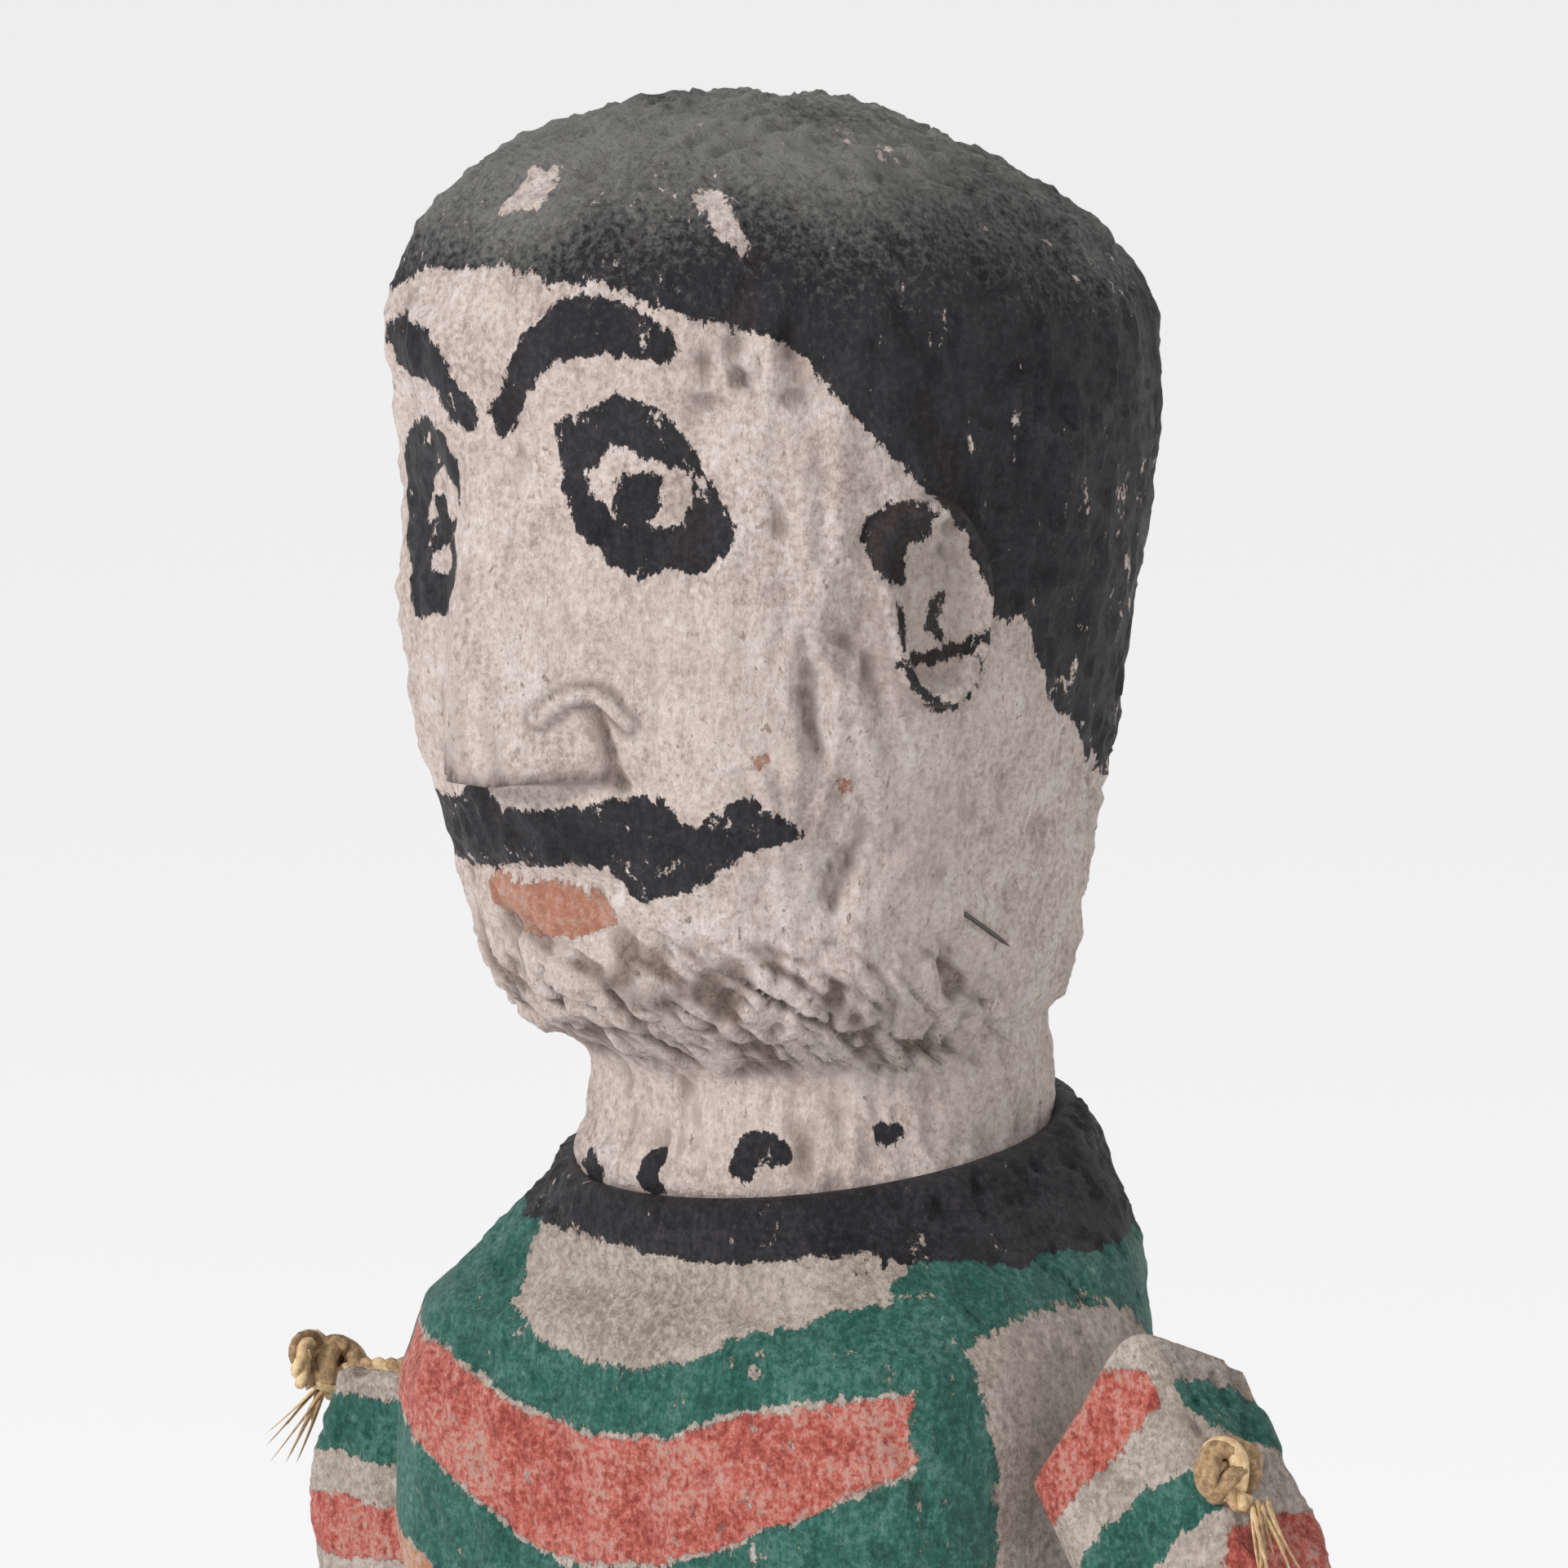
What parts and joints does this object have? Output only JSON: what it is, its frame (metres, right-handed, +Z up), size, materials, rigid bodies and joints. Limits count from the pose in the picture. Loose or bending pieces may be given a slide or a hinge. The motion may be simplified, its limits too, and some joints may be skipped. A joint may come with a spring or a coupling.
{
  "type": "wooden rod puppet",
  "caption": "Carved and painted wooden rod puppet with turning torso, cord-tied arms, cloth skirt and hand rods hung from the palms.",
  "frame": {"origin": "middle of the central rod's foot", "axes": "+Z up along the central rod, the puppet faces -Y, its own left side is at +X"},
  "size_m": [0.2693, 0.1011, 0.6027],
  "materials": {
    "skin_paint": "chalky pale paint on carved fibrous wood, black painted hair",
    "shirt_paint": "worn green, red and beige paint bands on carved wood",
    "plant_fibre": "twisted raffia cord",
    "bamboo": "scraped bamboo and hardwood, hand polished",
    "skirt_cloth": "woven cotton, faded",
    "sash_cloth": "woven cotton, faded"
  },
  "bodies": {
    "rod_and_head": {"central_rod": "bamboo", "head": "skin_paint", "head_peg": "bamboo"},
    "trunk": {"torso": "shirt_paint", "shoulder_cord": "plant_fibre", "skirt": "skirt_cloth", "sash": "sash_cloth", "sash_knot": "sash_cloth"},
    "left_shoulder": {"left_shoulder_tie": "plant_fibre"},
    "left_arm": {"left_upper_arm": "shirt_paint", "left_arm_cord": "plant_fibre", "left_elbow_cord": "plant_fibre"},
    "left_lower_arm": {"left_forearm": "skin_paint"},
    "left_tie": {"left_hand_tie": "plant_fibre"},
    "left_rod": {"left_hand_rod": "bamboo", "left_rod_binding": "plant_fibre"},
    "right_shoulder": {"right_shoulder_tie": "plant_fibre"},
    "right_arm": {"right_upper_arm": "shirt_paint", "right_arm_cord": "plant_fibre", "right_elbow_cord": "plant_fibre"},
    "right_lower_arm": {"right_forearm": "skin_paint"},
    "right_tie": {"right_hand_tie": "plant_fibre"},
    "right_rod": {"right_hand_rod": "bamboo", "right_rod_binding": "plant_fibre"}
  },
  "joints": [
    {"name": "torso_turn", "type": "hinge", "parent": "rod_and_head", "child": "trunk", "pos_m": [0, 0, 0.4], "axis": [0, 0, 1], "continuous": true},
    {"name": "left_shoulder_swing", "type": "hinge", "parent": "trunk", "child": "left_shoulder", "pos_m": [0.0508, -0.01, 0.4407], "axis": [-1, 0, 0], "range_deg": [-60, 150]},
    {"name": "left_shoulder_spread", "type": "hinge", "parent": "left_shoulder", "child": "left_arm", "pos_m": [0.0508, -0.01, 0.4407], "axis": [0, -1, 0], "range_deg": [-20, 55]},
    {"name": "left_elbow_bend", "type": "hinge", "parent": "left_arm", "child": "left_lower_arm", "pos_m": [0.11061, -0.009, 0.37882], "axis": [-0.8192, 0, -0.5736], "range_deg": [-5, 90]},
    {"name": "left_tie_swing", "type": "hinge", "parent": "left_lower_arm", "child": "left_tie", "pos_m": [0.17084, -0.009, 0.2928], "axis": [-0.8192, 0, -0.5736], "range_deg": [-110, 40]},
    {"name": "left_rod_sway", "type": "hinge", "parent": "left_tie", "child": "left_rod", "pos_m": [0.18231, -0.009, 0.27642], "axis": [0, -1, 0], "range_deg": [-10, 60]},
    {"name": "right_shoulder_swing", "type": "hinge", "parent": "trunk", "child": "right_shoulder", "pos_m": [-0.0508, -0.01, 0.4407], "axis": [-1, 0, 0], "range_deg": [-60, 150]},
    {"name": "right_shoulder_spread", "type": "hinge", "parent": "right_shoulder", "child": "right_arm", "pos_m": [-0.0508, -0.01, 0.4407], "axis": [0, -1, 0], "range_deg": [-70, 0]},
    {"name": "right_elbow_bend", "type": "hinge", "parent": "right_arm", "child": "right_lower_arm", "pos_m": [-0.0628, -0.009, 0.3557], "axis": [-1, 0, 0], "range_deg": [-5, 90]},
    {"name": "right_tie_swing", "type": "hinge", "parent": "right_lower_arm", "child": "right_tie", "pos_m": [-0.0628, -0.009, 0.2507], "axis": [-1, 0, 0], "range_deg": [-110, 40]},
    {"name": "right_rod_sway", "type": "hinge", "parent": "right_tie", "child": "right_rod", "pos_m": [-0.0628, -0.009, 0.2307], "axis": [0, -1, 0], "range_deg": [-45, 10]}
  ]
}
